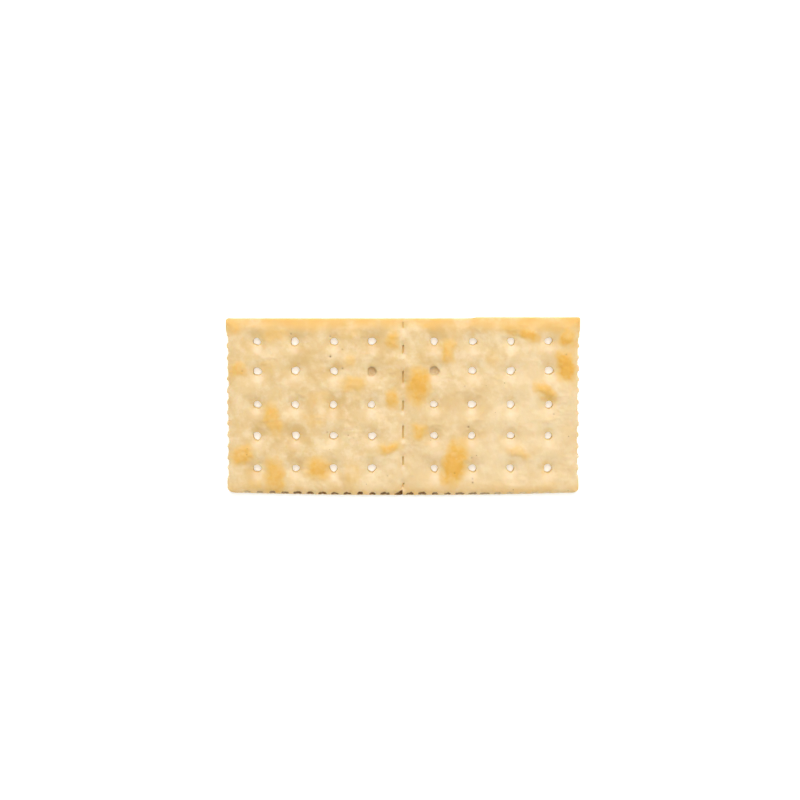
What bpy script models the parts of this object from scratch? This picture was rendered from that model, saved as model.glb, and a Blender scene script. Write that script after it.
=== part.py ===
"""A double soda cracker, lying flat with its docked face up.

Two square halves share a scored line across the middle. Rows of docking holes pin the dough together, so it
rises in pillows between them, with toasted blisters here and there. The two short edges and one long edge were
torn along a perforation and keep its bites. The other long edge was the side of the baked sheet and is smooth.

Run it with blender --background --python part.py, or from Blender's text editor. Lengths are in metres. +X
runs along the long side, +Y towards the smooth edge, +Z out of the docked face, and the underside rests on
z = 0.
"""

import math
import random

import bmesh
import bpy
from mathutils import Matrix, Vector, noise

MM = 0.001

# The whole cracker, across its corners and from the middle of its torn long edge to its smooth edge
LENGTH = 100.0 * MM
WIDTH = 51.0 * MM
HALF_LENGTH = LENGTH / 2
HALF_WIDTH = WIDTH / 2

# How thick the dough is where it is pinned, and how far it rises between the pins
PINNED_TOP = 3.1 * MM
PILLOW_RISE = 1.0 * MM
PILLOW_UNEVENNESS = 0.32
UNEVENNESS_SCALE = 7.5 * MM
UNDERSIDE_LIFT = 0.85 * MM
UNDERSIDE_FLAT = 0.22 * MM

# The rim, where both skins curve in to the edge
RIM_WIDTH = 3.4 * MM
TORN_RIM = 0.2
RIM_ROUNDING = 0.38 * MM
SMOOTH_CORNER_ROUNDING = 0.1 * MM
TORN_CORNER_ROUNDING = 0.35 * MM

# The long edges: the torn one is bowed and leans back, and the smooth one has a small step in it
LONG_EDGE_BOW = 0.8 * MM
LONG_EDGE_LEAN = 0.45 * MM
LEAN_FROM = 1 / 3
SMOOTH_EDGE_STEP = 0.3 * MM
SMOOTH_STEP_AT = 20.0 * MM
SMOOTH_STEP_LENGTH = 2.4 * MM

# The short edges: torn back everywhere but at the untorn corners, and flaring again towards their foot
TEAR_SET_BACK = 0.1 * MM
UNTORN_CORNER = 3.6 * MM
CORNER_STEP = 0.6 * MM
FOOT_FLARE = 5.0 * MM

# Docking holes: four columns and five rows in each half
HALF_MIDDLE = 25.0 * MM
COLUMN_PITCH = 10.8 * MM
COLUMNS = 4
ROW_HEIGHTS = (18.75 * MM, 10.3 * MM, 0.8 * MM, -8.2 * MM, -17.4 * MM)
HOLE_TOP_RADIUS = 1.16 * MM
HOLE_FOOT_RADIUS = 1.0 * MM
HOLE_SIDES = 9
HOLE_SHIFT = 0.15 * MM
DIMPLE_SPREAD = 2.9 * MM

# The docking holes beside the scored line that were not pierced, by their number, and the pits in their place
PITS = (16, 21)
PIT_RADIUS = 1.25 * MM
PIT_FLOOR = 2.2 * MM
PIT_TAPER = 0.75

# The scored line at x = 0: a shallow groove with a row of slits cut into it. SLITS gives the lower and the
# upper end of each, in mm, and its slant: how far it runs across for each mm that it runs up.
SCORE_DEPTH = 0.22
SCORE_SPREAD = 1.5 * MM
SLITS = (
    (-22.75, -21.45, 0.4),
    (-16.4, -13.9, 0.0),
    (-8.8, -5.1, 0.0),
    (-0.9, 2.0, 0.05),
    (7.0, 10.4, 0.0),
    (15.3, 17.8, 0.05),
    (22.5, 24.2, 0.0),
)
SLIT_WIDTH = 0.55 * MM
SLIT_FLOOR = 2.9 * MM

# Bites left by the perforation along the torn edges. FOOT is the share of their size that they have at the
# underside, so their walls slope: where it is below 0, they end above the underside.
SHORT_EDGE_PITCH = 3.16 * MM
SHORT_EDGE_BITE = 2.5 * MM
SHORT_EDGE_DEPTH = 0.42 * MM
SHORT_EDGE_FOOT = 0.6
LONG_EDGE_PITCH = 3.545 * MM
LONG_EDGE_PHASE = 1.98 * MM
LONG_EDGE_BITE = 2.5 * MM
LONG_EDGE_DEPTH = 1.2 * MM
DEEPEST_BITE_AT = -9.0 * MM
LONG_EDGE_FADE = 0.4
LONG_EDGE_FOOT = -0.4
BITE_SIDES = 10

# The chip broken off one half at the foot of the scored line, deepest at its end on that line. It takes the
# place of one bite, by its number from the middle.
CHIPPED_BITE = -1
CHIP_END = -0.05 * MM
CHIP_LENGTH = 2.8 * MM
CHIP_DEPTH = 1.75 * MM
CHIP_FOOT = -0.1
CHIP_PLAN = ((0, 1), (-0.45, 0.68), (-0.8, 0.34), (-1, 0), (-1, -1), (0, -1))

# Toasted blisters, in mm: across, up, length, width, and the turn of the length in degrees
BLISTERS = (
    (4.6, 6.3, 10.2, 6.2, 86),
    (14.6, -15.8, 13.4, 6.6, 76),
    (-36.3, -19.6, 10.4, 5.8, 95),
    (-24.0, -17.3, 7.4, 6.4, 0),
    (-45.6, -13.6, 6.4, 5.2, 20),
    (-36.9, -3.2, 9.2, 4.6, 100),
    (-3.6, -11.5, 6.8, 3.4, 15),
    (-3.3, 2.4, 5.8, 3.4, 90),
    (-3.0, 19.3, 5.2, 3.6, 85),
    (-14.1, 6.8, 6.6, 4.6, 0),
    (-15.0, 13.0, 4.2, 4.0, 0),
    (12.6, 15.8, 7.4, 4.0, 90),
    (35.4, 20.9, 6.6, 3.4, -18),
    (46.2, 20.0, 5.2, 4.2, 60),
    (46.0, 11.8, 8.6, 5.4, 95),
    (40.2, 4.4, 7.6, 3.8, -40),
    (32.4, -12.7, 6.8, 3.2, -15),
    (4.8, -6.7, 4.6, 4.2, 0),
    (-46.4, 11.0, 5.0, 4.6, 0),
)
BLISTER_RISE = 0.34 * MM
BLISTER_SQUARENESS = 2.6

# How finely the sheet is divided, and how much its divisions crowd towards the rim
SHEET_COLUMNS = 56
SHEET_ROWS = 28
CROWDING = 0.06
CUTTER_FOOT = -1.0 * MM
CUTTER_TOP = 6.0 * MM
PIN_TOP = PINNED_TOP + 1.0 * MM
CUTTER_TIP = 0.02
SLIVER = 0.03 * MM

SEED = 7


def clear_scene():
    for thing in list(bpy.data.objects):
        bpy.data.objects.remove(thing, do_unlink=True)


def smooth_step(t):
    t = min(max(t, 0.0), 1.0)
    return t * t * (3 - 2 * t)


def docking_holes(draw):
    """(x, y) of each docking hole, a little off the regular grid."""
    holes = []
    for half_middle in (-HALF_MIDDLE, HALF_MIDDLE):
        for column in range(COLUMNS):
            x = half_middle + (column - (COLUMNS - 1) / 2) * COLUMN_PITCH
            for y in ROW_HEIGHTS:
                shift_x = draw.uniform(-HOLE_SHIFT, HOLE_SHIFT)
                shift_y = draw.uniform(-HOLE_SHIFT, HOLE_SHIFT)
                holes.append((x + shift_x, y + shift_y))
    return holes


def side_reach(y):
    """How far the short edges stand from the middle of the cracker."""
    torn = smooth_step((HALF_WIDTH - y - UNTORN_CORNER) / CORNER_STEP)
    return HALF_LENGTH - TEAR_SET_BACK * torn * smooth_step((HALF_WIDTH + y) / FOOT_FLARE)


def long_reach(x, level=0):
    """How far the torn long edge stands from the middle, at a level from 0 at its foot to 1 at its top."""
    lean = LONG_EDGE_LEAN * max(level - LEAN_FROM, 0) / (1 - LEAN_FROM)
    return HALF_WIDTH - LONG_EDGE_BOW * (x / HALF_LENGTH) ** 2 - lean


def smooth_reach(x):
    """How far the smooth edge stands from the middle of the cracker."""
    return HALF_WIDTH - SMOOTH_EDGE_STEP * smooth_step((SMOOTH_STEP_AT - x) / SMOOTH_STEP_LENGTH + 0.5)


def edge_rise(to_edge, at_edge):
    """How freely the dough has risen at a distance from an edge, from its value at that edge."""
    return at_edge + (1 - at_edge) * math.sin(math.pi / 2 * min(max(to_edge / RIM_WIDTH, 0.0), 1.0))


def puff(x, y, holes):
    """How freely the dough has risen: 0 where it is pinned or at the smooth edge, 1 on top of a pillow."""
    free = 1.0
    for hole_x, hole_y in holes:
        reach = ((x - hole_x) ** 2 + (y - hole_y) ** 2) / DIMPLE_SPREAD**2
        free *= 1 - math.exp(-reach)
    torn_rim = edge_rise(min(side_reach(y) - abs(x), long_reach(x) + y), TORN_RIM)
    rim = min(torn_rim, edge_rise(smooth_reach(x) - y, 0.0))
    score = 1 - SCORE_DEPTH * math.exp(-((x / SCORE_SPREAD) ** 2))
    return free * rim * score


def blister_height(x, y):
    """Height that the toasted blisters add at a point."""
    height = 0.0
    for middle_x, middle_y, length, width, turn in BLISTERS:
        angle = math.radians(turn)
        off_x = x / MM - middle_x
        off_y = y / MM - middle_y
        along = (off_x * math.cos(angle) + off_y * math.sin(angle)) / (length / 2)
        across = (off_y * math.cos(angle) - off_x * math.sin(angle)) / (width / 2)
        power = BLISTER_SQUARENESS
        reach = (abs(along) ** power + abs(across) ** power) ** (1 / power)
        height = max(height, BLISTER_RISE * smooth_step(1.2 - reach))
    return height


def upper_skin(x, y, holes):
    risen = puff(x, y, holes)
    uneven = noise.noise(Vector((x, y, 0)) / UNEVENNESS_SCALE)
    pillow = PILLOW_RISE * risen * (1 + PILLOW_UNEVENNESS * uneven)
    return PINNED_TOP + pillow + blister_height(x, y) * smooth_step(2 * risen)


def lower_skin(x, y, holes):
    """The underside: pillows pressed flat on z = 0, and hollows under the pinned places."""
    return max(UNDERSIDE_LIFT * (1 - puff(x, y, holes)) - UNDERSIDE_FLAT, 0.0)


def crowded(t):
    """Moves a place on the span from -0.5 to 0.5 outwards, so that divisions are closest at its ends."""
    return t * (1 + CROWDING * (1 - (2 * t) ** 8))


def place(vertex, holes):
    """Moves a vertex of the unit slab to its place. Its z is 0 on the underside and 1 on top."""
    level = vertex.co.z
    at_side = abs(vertex.co.x) > 0.499
    at_end = abs(vertex.co.y) > 0.499
    x = crowded(vertex.co.x) * LENGTH
    reach = smooth_reach(x) if vertex.co.y > 0 else long_reach(x, level)
    y = crowded(vertex.co.y) * 2 * reach
    x *= side_reach(y) / HALF_LENGTH
    inset = RIM_ROUNDING if level in (0, 1) else 0
    if at_side and at_end:
        inset += SMOOTH_CORNER_ROUNDING if y > 0 else TORN_CORNER_ROUNDING
    if at_side:
        x -= math.copysign(inset, x)
    if at_end:
        y -= math.copysign(inset, y)
    low = lower_skin(x, y, holes)
    high = upper_skin(x, y, holes)
    vertex.co = (x, y, low + level * (high - low))


def dough_sheet(holes):
    """The uncut sheet: a closed slab whose two skins follow the pillows and the rim."""
    sheet = bmesh.new()
    bmesh.ops.create_grid(sheet, x_segments=SHEET_COLUMNS, y_segments=SHEET_ROWS, size=0.5)
    lower = list(sheet.faces)
    raised = bmesh.ops.extrude_face_region(sheet, geom=lower, use_keep_orig=True)
    for item in raised["geom"]:
        if isinstance(item, bmesh.types.BMVert):
            item.co.z = 1.0
    uprights = [edge for edge in sheet.edges if abs(edge.verts[0].co.z - edge.verts[1].co.z) > 0.5]
    bmesh.ops.subdivide_edges(sheet, edges=uprights, cuts=2)
    for vertex in sheet.verts:
        place(vertex, holes)
    bmesh.ops.recalc_face_normals(sheet, faces=sheet.faces)
    bmesh.ops.triangulate(sheet, faces=sheet.faces)
    return sheet


def docking_pins(holes, draw):
    """The tapered pins that pierce the dough, and the blunt ones that only left pits."""
    pins = bmesh.new()
    for number, (x, y) in enumerate(holes):
        turn = Matrix.Rotation(draw.uniform(0, math.tau), 4, "Z")
        size = draw.uniform(0.93, 1.07)
        foot, foot_radius, top_radius = CUTTER_FOOT, HOLE_FOOT_RADIUS, HOLE_TOP_RADIUS
        if number in PITS:
            foot, foot_radius, top_radius = PIT_FLOOR, PIT_TAPER * PIT_RADIUS, PIT_RADIUS / PIT_TAPER
        bmesh.ops.create_cone(
            pins,
            cap_ends=True,
            segments=HOLE_SIDES,
            radius1=foot_radius * size,
            radius2=top_radius * size,
            depth=PIN_TOP - foot,
            matrix=Matrix.Translation((x, y, (PIN_TOP + foot) / 2)) @ turn,
        )
    return pins


def score_blades():
    """The blades that cut the slits along the scored line."""
    blades = bmesh.new()
    for foot, head, slant in SLITS:
        size = Matrix.Diagonal((SLIT_WIDTH, (head - foot) * MM, CUTTER_TOP - SLIT_FLOOR, 1))
        slanted = Matrix.Identity(4)
        slanted[0][1] = slant
        middle = Matrix.Translation((0, (head + foot) / 2 * MM, (CUTTER_TOP + SLIT_FLOOR) / 2))
        bmesh.ops.create_cube(blades, size=1, matrix=middle @ slanted @ size)
    return blades


def cutter_ends(foot):
    """(height, scale) of a cutter's two ends. Its scale is foot at z = 0, and 1 where the dough is pinned."""
    widening = (1 - foot) / PINNED_TOP
    low = max(CUTTER_FOOT, (CUTTER_TIP - foot) / widening)
    return [(height, foot + widening * height) for height in (low, CUTTER_TOP)]


def add_bite(teeth, x, y, reach_x, reach_y, foot):
    """An upright oval cutter on the edge line, with its half sizes along X and Y at the upper skin."""
    (low, low_scale), (high, high_scale) = cutter_ends(foot)
    bmesh.ops.create_cone(
        teeth,
        cap_ends=True,
        segments=BITE_SIDES,
        radius1=low_scale,
        radius2=high_scale,
        depth=high - low,
        matrix=Matrix.Translation((x, y, (low + high) / 2)) @ Matrix.Diagonal((reach_x, reach_y, 1, 1)),
    )


def add_chip(teeth):
    """An upright wedge that leaves a straight break on the scored line and slants out to the edge."""
    ends = []
    for height, scale in cutter_ends(CHIP_FOOT):
        length, depth = CHIP_LENGTH * scale, CHIP_DEPTH * scale
        plan = [(CHIP_END + length * x, depth * y - HALF_WIDTH) for x, y in CHIP_PLAN]
        ends.append([teeth.verts.new((x, y, height)) for x, y in plan])
    lower, upper = ends
    teeth.faces.new(lower[::-1])
    teeth.faces.new(upper)
    for number in range(len(lower)):
        teeth.faces.new((lower[number - 1], lower[number], upper[number], upper[number - 1]))


def perforation_teeth(draw):
    """The teeth that perforated the two short edges and the long edge at -Y, unevenly worn."""
    teeth = bmesh.new()
    count = int((WIDTH - 2 * UNTORN_CORNER) / SHORT_EDGE_PITCH)
    for side in (-1, 1):
        for number in range(count):
            along = (number + 0.5 - count / 2) * SHORT_EDGE_PITCH + draw.uniform(-0.25, 0.25) * MM
            length = SHORT_EDGE_BITE * draw.uniform(0.85, 1.1)
            depth = SHORT_EDGE_DEPTH * draw.uniform(0.75, 1.3)
            add_bite(teeth, side * side_reach(along), along, depth, length / 2, SHORT_EDGE_FOOT)
    count = int((HALF_LENGTH - UNTORN_CORNER) / LONG_EDGE_PITCH)
    for number in range(-count, count):
        along = LONG_EDGE_PHASE + number * LONG_EDGE_PITCH
        if number == CHIPPED_BITE:
            continue
        length = LONG_EDGE_BITE * draw.uniform(0.7, 1.25)
        faded = LONG_EDGE_FADE * ((along - DEEPEST_BITE_AT) / HALF_LENGTH) ** 2
        depth = LONG_EDGE_DEPTH * (1 - faded) * draw.uniform(0.8, 1.05)
        add_bite(teeth, along, -long_reach(along), length / 2, depth, LONG_EDGE_FOOT)
    add_chip(teeth)
    bmesh.ops.recalc_face_normals(teeth, faces=teeth.faces)
    return teeth


def object_from(shape, name, collection):
    mesh = bpy.data.meshes.new(name)
    shape.to_mesh(mesh)
    shape.free()
    made = bpy.data.objects.new(name, mesh)
    collection.objects.link(made)
    return made


def add_cutter(shape, name, collection):
    cutter = object_from(shape, name, collection)
    cutter.hide_render = True
    cutter.display_type = "WIRE"


def baked_dough():
    """Pale baked dough: matt, cream, a little golden."""
    material = bpy.data.materials.new("baked_dough")
    material.use_nodes = True
    shader = material.node_tree.nodes["Principled BSDF"]
    shader.inputs["Base Color"].default_value = (0.85, 0.62, 0.33, 1)
    shader.inputs["Roughness"].default_value = 0.75
    shader.inputs["Metallic"].default_value = 0.0
    return material


def main():
    clear_scene()
    draw = random.Random(SEED)
    parts = bpy.data.collections.new("soda_cracker")
    cutters = bpy.data.collections.new("cutters")
    for collection in (parts, cutters):
        bpy.context.scene.collection.children.link(collection)

    holes = docking_holes(draw)
    cracker = object_from(dough_sheet(holes), "cracker", parts)
    cracker.data.materials.append(baked_dough())
    add_cutter(docking_pins(holes, draw), "docking_pins", cutters)
    add_cutter(score_blades(), "score_blades", cutters)
    add_cutter(perforation_teeth(draw), "perforation_teeth", cutters)

    cut = cracker.modifiers.new("cut", "BOOLEAN")
    cut.operation = "DIFFERENCE"
    cut.operand_type = "COLLECTION"
    cut.collection = cutters
    weld = cracker.modifiers.new("weld_slivers", "WELD")
    weld.merge_threshold = SLIVER


main()
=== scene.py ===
"""The looks of the double soda cracker: one piece of baked dough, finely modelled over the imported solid.

Lengths are in millimetres until the mesh is made. +X runs along the long side, +Y towards the smooth edge and
+Z out of the docked face. The camera looks down on that face, with +Y at the top of the picture.
"""

import math
import random

import bmesh
import bpy
import numpy as np
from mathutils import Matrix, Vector, kdtree, noise
from mathutils.geometry import delaunay_2d_cdt


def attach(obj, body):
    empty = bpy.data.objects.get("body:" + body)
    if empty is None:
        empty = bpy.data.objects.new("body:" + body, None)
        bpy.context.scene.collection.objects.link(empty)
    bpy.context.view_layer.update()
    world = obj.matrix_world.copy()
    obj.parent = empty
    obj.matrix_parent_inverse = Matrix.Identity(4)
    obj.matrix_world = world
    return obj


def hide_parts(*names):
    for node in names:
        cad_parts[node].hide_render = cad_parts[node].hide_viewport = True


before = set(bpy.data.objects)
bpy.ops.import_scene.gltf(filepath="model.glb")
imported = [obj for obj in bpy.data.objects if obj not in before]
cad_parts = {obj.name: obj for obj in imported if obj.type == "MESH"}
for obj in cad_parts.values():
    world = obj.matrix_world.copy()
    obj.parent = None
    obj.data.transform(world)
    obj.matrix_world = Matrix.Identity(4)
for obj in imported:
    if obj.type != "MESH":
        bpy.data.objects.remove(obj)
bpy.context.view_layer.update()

MM = 0.001

# The whole cracker, across its corners and from the middle of its torn long edge to its smooth edge
LENGTH = 100.0
WIDTH = 51.0
HALF_LENGTH = LENGTH / 2
HALF_WIDTH = WIDTH / 2

# How thick the dough is where it is pinned, and how far it rises between the pins
PINNED_TOP = 3.1
PILLOW_RISE = 1.0
PILLOW_UNEVENNESS = 0.32
UNEVENNESS_SCALE = 7.5
UNDERSIDE_LIFT = 0.85
UNDERSIDE_FLAT = 0.22
RIM_WIDTH = 3.4
TORN_RIM = 0.2

# The long edges: the torn one is bowed and leans back, and the smooth one has a small step in it
LONG_EDGE_BOW = 0.8
LONG_EDGE_LEAN = 0.45
LEAN_FROM = 1 / 3
SMOOTH_EDGE_STEP = 0.3
SMOOTH_STEP_AT = 20.0
SMOOTH_STEP_LENGTH = 2.4

# The short edges: torn back everywhere but at the untorn corners, and flaring again towards their foot
TEAR_SET_BACK = 0.1
UNTORN_CORNER = 3.6
CORNER_STEP = 0.6
FOOT_FLARE = 5.0

# Corners counter-clockwise from +X -Y: which way they lie, and the radius of each
CORNERS = ((1, -1, 1.6), (1, 1, 0.36), (-1, 1, 0.6), (-1, -1, 1.9))

# Docking holes: four columns and five rows in each half, a little uneven in place and in size
HALF_MIDDLE = 25.0
COLUMN_PITCH = 10.8
COLUMNS = 4
ROW_HEIGHTS = (18.75, 10.3, 0.8, -8.2, -17.4)
HOLE_SHIFT = 0.15
HOLE_SIZES = (0.93, 1.07)

# The tube of a docking hole has its foot radius at HOLE_TAPER_FROM, and its top radius at HOLE_TAPER_TO. The
# waves make it crooked: how many go round, how high they are, and how far the hole's turn shifts them.
HOLE_TOP_RADIUS = 1.16
HOLE_FOOT_RADIUS = 1.0
HOLE_TAPER_FROM = -1.0
HOLE_TAPER_TO = 3.85
HOLE_POINTS = 40
HOLE_CRUMB_DEPTH = 0.05
HOLE_CRUMB_SIZE = 0.4
HOLE_WAVES = ((2, 0.06, 1), (3, 0.05, 2), (5, 0.03, 0))

# How widely a docking hole pins the dough round it, and how its mouth draws the skin down
DIMPLE_SPREAD = 2.9
FUNNEL_DEPTH = 0.1
FUNNEL_SPREAD = 0.75

# The docking holes beside the scored line that were not pierced, by their number, and the pits in their place
PITS = (16, 21)
PIT_RADIUS = 1.25
PIT_FLOOR = 2.2
PIT_BLUNTNESS = 0.5

# The scored line at x = 0: a shallow groove with a row of slits cut into it, and a dip round each slit. SLITS
# gives the lower and the upper end of each, and its slant: how far across it runs for each mm that it runs up
SCORE_DEPTH = 0.22
SCORE_SPREAD = 1.5
SLITS = (
    (-22.75, -21.45, 0.4),
    (-16.4, -13.9, 0.0),
    (-8.8, -5.1, 0.0),
    (-0.9, 2.0, 0.05),
    (7.0, 10.4, 0.0),
    (15.3, 17.8, 0.05),
    (22.5, 24.2, 0.0),
)
SLIT_WIDTH = 0.55
SLIT_NARROWING = 0.55
SLIT_FLOOR = 2.9
SLIT_END_POINTS = 9
SLIT_CROOKEDNESS = 0.05
SLIT_CROOKED_SIZE = 0.9
SLIT_DIP = 0.3
SLIT_DIP_SPREAD = 0.9

# A painted highlight lies on the scored line just below each slit, and another below the mouth of each
# docking hole. Painted shade, in the colour of toast, lies above each docking hole.
SLIT_HIGHLIGHT_BELOW = 0.8
SLIT_HIGHLIGHT_SPREAD = 0.6
HIGHLIGHT_BELOW_HOLE = 2.2
HOLE_HIGHLIGHT_SPREAD = 1.3
HOLE_HIGHLIGHT_SHARE = 0.8
SHADE_ABOVE_HOLE = 1.7
HOLE_SHADE_SPREAD = 1.2
HOLE_SHADE_SHARE = 0.3

# Bites left by the perforation along the torn edges. FOOT is the share of their size that they have at the
# underside, so their walls slope: where it is below 0, they end above the underside. LENGTHS and DEPTHS give
# the least and the greatest share of the plain length and depth that a bite can have.
SHORT_EDGE_PITCH = 3.16
SHORT_EDGE_SHIFT = 0.25
SHORT_EDGE_BITE = 2.5
SHORT_EDGE_LENGTHS = (0.85, 1.1)
SHORT_EDGE_DEPTH = 0.42
SHORT_EDGE_DEPTHS = (0.75, 1.3)
SHORT_EDGE_FOOT = 0.6
LONG_EDGE_PITCH = 3.545
LONG_EDGE_PHASE = 1.98
LONG_EDGE_BITE = 2.5
LONG_EDGE_LENGTHS = (0.7, 1.25)
LONG_EDGE_DEPTH = 1.2
LONG_EDGE_DEPTHS = (0.8, 1.05)
DEEPEST_BITE_AT = -9.0
LONG_EDGE_FADE = 0.4
LONG_EDGE_FOOT = -0.4

# How a bite's length follows its size down the wall, how blunt its ends are, and how ragged it is
BITE_NARROWING = 0.6
BITE_BLUNTNESS = 0.3
BITE_RAGGEDNESS = 0.25
BITE_RAGGED_SIZE = 0.7
SMALLEST_BITE = 0.01

# The chip broken off one half at the foot of the scored line, deepest at its end on that line. It takes the
# place of one bite, by its number from the middle.
CHIPPED_BITE = -1
CHIP_END = -0.05
CHIP_LENGTH = 2.8
CHIP_DEPTH = 1.75
CHIP_FOOT = -0.1
CHIP_BLUNTNESS = 0.7

# How nearly a point of the outline has to face a side to belong to it
FACING = 0.9

# How deep the edges are eaten in, and how wide the hollows are: by crumb and flat pores where they are torn,
# and by the unevenness of the skin where they are smooth
CRUMB_DEPTH = 0.06
CRUMB_SIZE = 0.5
PORE_DEPTH = 0.07
PORE_SIZE = 0.34
PORE_FLATNESS = 3
SKIN_DEPTH = 0.03
SKIN_SIZE = 1.4

# Toasted blisters: across, up, length, width, turn of the length in degrees, and how toasted each is
BLISTERS = (
    (4.6, 6.3, 10.2, 6.2, 86, 1.0),
    (14.6, -15.8, 13.4, 6.6, 76, 1.0),
    (-36.3, -19.6, 10.4, 5.8, 95, 0.8),
    (-24.0, -17.3, 7.4, 6.4, 0, 0.8),
    (-45.6, -13.6, 6.4, 5.2, 20, 0.8),
    (-36.9, -3.2, 9.2, 4.6, 100, 0.75),
    (-3.6, -11.5, 6.8, 3.4, 15, 0.75),
    (-3.3, 2.4, 5.8, 3.4, 90, 0.8),
    (-3.0, 19.3, 5.2, 3.6, 85, 0.7),
    (-14.1, 6.8, 6.6, 4.6, 0, 0.6),
    (-15.0, 13.0, 4.2, 4.0, 0, 0.45),
    (12.6, 15.8, 7.4, 4.0, 90, 0.7),
    (35.4, 20.9, 6.6, 3.4, -18, 0.9),
    (46.2, 20.0, 5.2, 4.2, 60, 0.85),
    (46.0, 11.8, 8.6, 5.4, 95, 1.0),
    (40.2, 4.4, 7.6, 3.8, -40, 0.8),
    (32.4, -12.7, 6.8, 3.2, -15, 0.5),
    (4.8, -6.7, 4.6, 4.2, 0, 0.8),
    (-46.4, 11.0, 5.0, 4.6, 0, 0.65),
)
BLISTER_RISE = 0.34
BLISTER_SQUARENESS = 2.6
BLISTER_RAGGEDNESS = 0.8
BLISTER_RAGGED_SIZE = 2.8

# Where a blister's flank and its toasting start, its outline being 1, and over how much the toasting grows
BLISTER_REACH = 1.2
TOAST_REACH = 1.42
TOAST_FADE = 0.85

# Patches that are toasted and not raised, in the same order as the blisters
TOASTED_PATCHES = (
    (7.6, 23.3, 4.6, 2.4, 0, 0.6),
    (-25.6, -3.6, 7.0, 4.4, 0, 0.4),
    (-23.6, 2.6, 7.0, 4.6, 0, 0.35),
    (-42.0, -22.0, 4.4, 3.0, 0, 0.45),
    (-38.6, 11.6, 5.0, 3.6, 10, 0.35),
    (-14.3, -18.6, 4.6, 7.6, 0, 0.35),
    (24.6, 14.0, 3.6, 6.0, 0, 0.3),
    (40.4, -17.2, 2.4, 5.4, 0, 0.4),
    (-36.0, 20.8, 9.0, 3.6, 5, 0.5),
    (-16.0, 21.0, 8.0, 4.0, 0, 0.35),
    (19.5, -7.8, 8.0, 3.4, 15, 0.35),
    (47.4, 14.4, 4.6, 17.0, 0, 0.45),
    (-47.8, 23.2, 5.0, 5.0, 0, 0.6),
    (31.0, 22.2, 7.0, 3.6, -18, 0.6),
    (-28.0, 23.4, 22.0, 4.6, 0, 0.3),
    (36.0, 23.2, 24.0, 4.6, 0, 0.5),
)

# Folds in the skin: across, up, length, turn in degrees, bow, and height
FOLDS = (
    (-36.6, 14.3, 5.0, -20, 0.9, 0.12),
    (-9.4, 15.4, 4.2, -10, 1.0, 0.13),
    (-9.0, 13.8, 3.4, 15, -0.6, 0.10),
    (-14.6, 6.6, 4.0, 8, 0.4, 0.12),
    (34.4, -11.8, 4.4, -62, 0.8, 0.14),
    (-1.6, 14.0, 3.6, -12, -0.7, 0.12),
    (-12.2, -13.8, 3.2, 25, 0.5, 0.09),
    (12.4, 8.8, 3.8, -4, 0.3, 0.08),
    (43.0, -3.0, 5.2, 20, 0.9, 0.09),
    (-30.4, 8.6, 4.6, 12, -0.7, 0.09),
    (21.4, 3.8, 4.0, -15, 0.6, 0.08),
    (-44.0, -8.2, 5.0, 5, 0.5, 0.08),
    (-13.2, 20.0, 2.6, -5, 0.3, 0.11),
    (-2.3, 20.9, 2.2, 80, 0.2, 0.12),
    (-2.3, 4.9, 1.6, 85, 0.2, 0.11),
    (-2.8, 6.8, 1.8, 30, 0.3, 0.10),
    (-6.6, 5.4, 2.2, 20, 0.4, 0.10),
    (35.6, 13.3, 4.6, 10, 0.4, 0.11),
    (20.7, 22.6, 5.0, -35, 0.6, 0.11),
)
FOLD_WIDTH = 0.42
FOLD_REACH = 1.3

# Wrinkles: thin ridges, drawn out along X, that stand in patches
WRINKLE_RISE = 0.12
WRINKLE_SHARPNESS = 6
WRINKLE_SIZE = 1.7
WRINKLE_STRETCH = 2.2
WRINKLED_PATCH_SIZE = 6.0
WRINKLED_PATCH_EDGE = 2.5

# Swellings by height, size and layer of noise, roller streaks along X, and the roughness of the underside
SWELLINGS = ((0.10, 3.6, 5.0), (0.05, 1.4, 7.0))
STREAK_RISE = 0.03
STREAK_SIZE = 0.8
STREAK_STRETCH = 6
UNDERSIDE_ROUGHNESS = 0.15
UNDERSIDE_ROUGH_SIZE = 1.4

# How many times as fast as the pillows the blisters and the fine relief come up
BLISTER_ONSET = 2
RELIEF_ONSET = 3

# How far in the gold of the long edges reaches, and how much further at the corners of the smooth one. On
# the torn edge the gold is partly painted shade, where the rim slopes away from the light.
GOLD_DEPTH = 3.6
GOLD_UNEVENNESS = 1.4
GOLD_PATCH_SIZE = 5.0
GOLD_CORNER_DEPTH = 1.2
GOLD_CORNER_FROM = 30
GOLD_CORNER_LENGTH = 16
GOLD_REACH = 1.15
TORN_GOLD_AND_SHADE = 0.6
TORN_GOLD_AND_SHADE_DEPTH = 4.0

# Pinholes where small bubbles burst: across, up, and how dark each is
PINHOLES = (
    (-20.5, 14.5, 1.0),
    (18.5, -5.5, 0.8),
    (19.7, -21.4, 0.7),
    (-31.6, 20.9, 0.6),
    (-17.1, 11.1, 0.6),
    (-20.5, 20.2, 0.5),
    (-21.4, -7.0, 0.4),
    (46.0, 15.1, 0.4),
    (19.7, -20.3, 0.4),
    (-45.4, 10.4, 0.4),
    (19.4, -14.3, 0.4),
    (-17.1, 16.5, 0.35),
    (14.6, -18.6, 0.4),
    (42.6, -1.9, 0.35),
    (-4.4, -19.4, 0.35),
    (17.4, 6.1, 0.3),
)
PINHOLE_RADIUS = 0.24
PINHOLE_DEPTH = 0.3
PINHOLE_RINGS = ((0.0, 1), (0.13, 6), (0.27, 10), (0.42, 12))

# How finely the mesh is divided: along its borders, over its skins, in the collars of closer points round its
# borders, and down its walls
RIM_STEP = 0.17
CORNER_STEPS = 5
UPPER_SPACING = 0.40
LOWER_SPACING = 0.75
SPACING_JITTER = 0.12
SPACING_CLEARANCE = 0.45
COLLARS = (0.16, 0.34)
COLLAR_CLEARANCE = 0.85
LIP_ROWS = 4
WALL_ROWS = 5

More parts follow.
